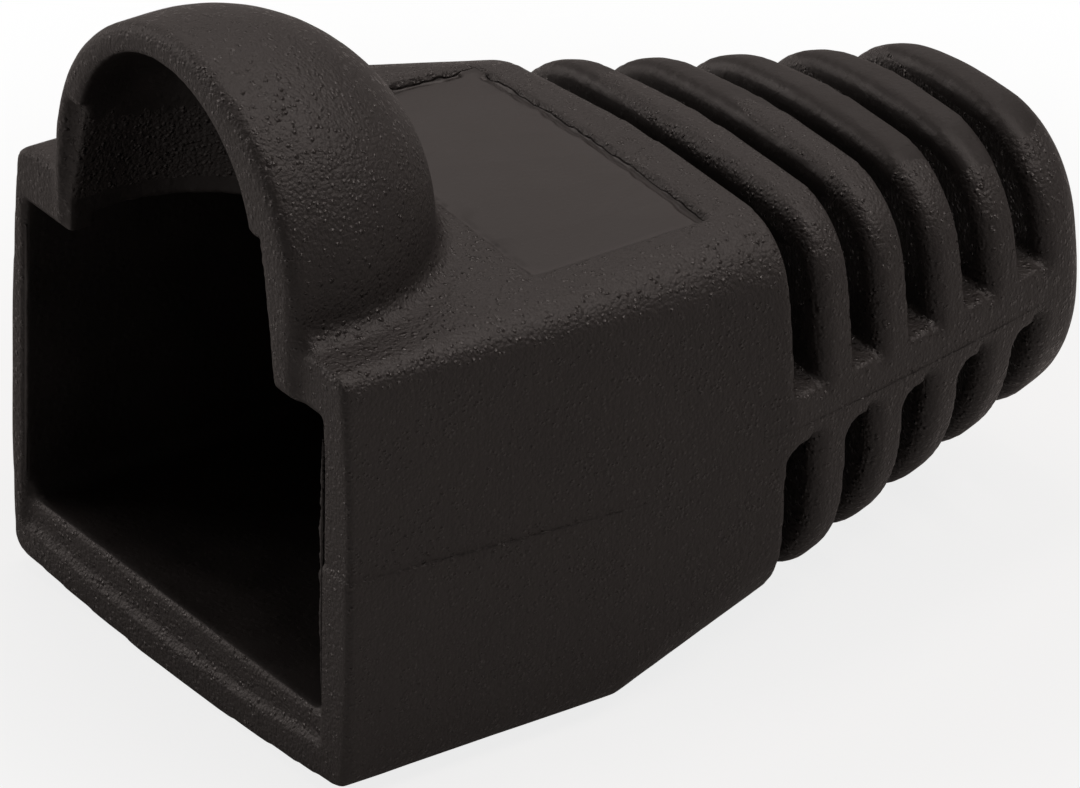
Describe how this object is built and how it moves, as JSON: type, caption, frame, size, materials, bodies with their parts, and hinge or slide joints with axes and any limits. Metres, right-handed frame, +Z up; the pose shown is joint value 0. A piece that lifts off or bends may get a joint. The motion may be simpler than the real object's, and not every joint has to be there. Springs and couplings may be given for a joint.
{
  "type": "rj45 strain relief boot",
  "caption": "Soft moulded boot that slides over a modular network plug: open box with a domed latch hood, and a slotted tapering tail round the cable.",
  "frame": {"origin": "centre of the bounding box's underside, where the boot's flat underside stands", "axes": "+Y along the cable, from the mouth towards the cable end; +Z up, towards the latch hood; +X across, so that the mouth faces -Y"},
  "size_m": [0.014, 0.0224, 0.0165],
  "materials": {
    "boot": "fine matt grain"
  },
  "bodies": {
    "root": {"strain_relief_boot": "boot"}
  },
  "joints": []
}
